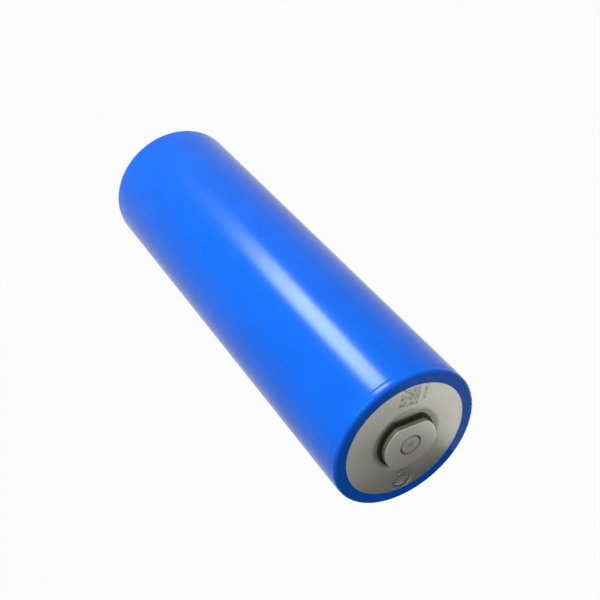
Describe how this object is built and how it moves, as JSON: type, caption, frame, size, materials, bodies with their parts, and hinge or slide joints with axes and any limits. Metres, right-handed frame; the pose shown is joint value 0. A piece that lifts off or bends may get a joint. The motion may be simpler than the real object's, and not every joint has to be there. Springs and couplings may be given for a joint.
{
  "type": "cylindrical battery cell",
  "caption": "Large cylindrical lithium cell in a shrink sleeve, with a flatted positive terminal and a filling port at one end and a plain vented negative end.",
  "frame": {"origin": "centre of the foot, on the surface that the cell stands on", "axes": "+Z along the cell's axis, towards the positive terminal; the terminal's flats face +Y and -Y, and the filling port is on the +Y side"},
  "size_m": [0.0403, 0.0402, 0.135],
  "materials": {
    "sleeve_film": "satin blue polyester film",
    "can_steel": "nickel-plated drawn steel",
    "cover_metal": "matte stamped plate",
    "terminal_metal": "matte machined",
    "rivet_metal": "matte turned",
    "plug_metal": "matte disc with a bright weld bead",
    "dark_plastic": "moulded, dark",
    "pale_plastic": "moulded, natural",
    "seal_rubber": "smooth elastomer",
    "collector_metal": "bright rolled sheet",
    "negative_collector_metal": "nickel-plated copper sheet",
    "separator_film": "microporous white film",
    "positive_foil_metal": "bright foil",
    "positive_paste": "calendered dark coating",
    "negative_foil_metal": "copper foil",
    "negative_paste": "calendered graphite coating",
    "tape_film": "green polyester tape"
  },
  "bodies": {
    "root": {"shrink_sleeve": "sleeve_film", "can": "can_steel", "cover_plate": "cover_metal", "terminal_block": "terminal_metal", "terminal_rivet": "rivet_metal", "terminal_insulator": "dark_plastic", "terminal_gasket": "seal_rubber", "cover_insulator": "pale_plastic", "fill_plug": "plug_metal", "fill_pin": "seal_rubber", "positive_lead": "collector_metal", "positive_collector": "collector_metal", "spacer_collar": "pale_plastic", "negative_collector": "negative_collector_metal", "separator_inner": "separator_film", "separator_outer": "separator_film", "positive_foil": "positive_foil_metal", "positive_coating_inner": "positive_paste", "positive_coating_outer": "positive_paste", "negative_foil": "negative_foil_metal", "negative_coating_inner": "negative_paste", "negative_coating_outer": "negative_paste", "closing_tape_top": "tape_film", "closing_tape_bottom": "tape_film"}
  },
  "joints": []
}
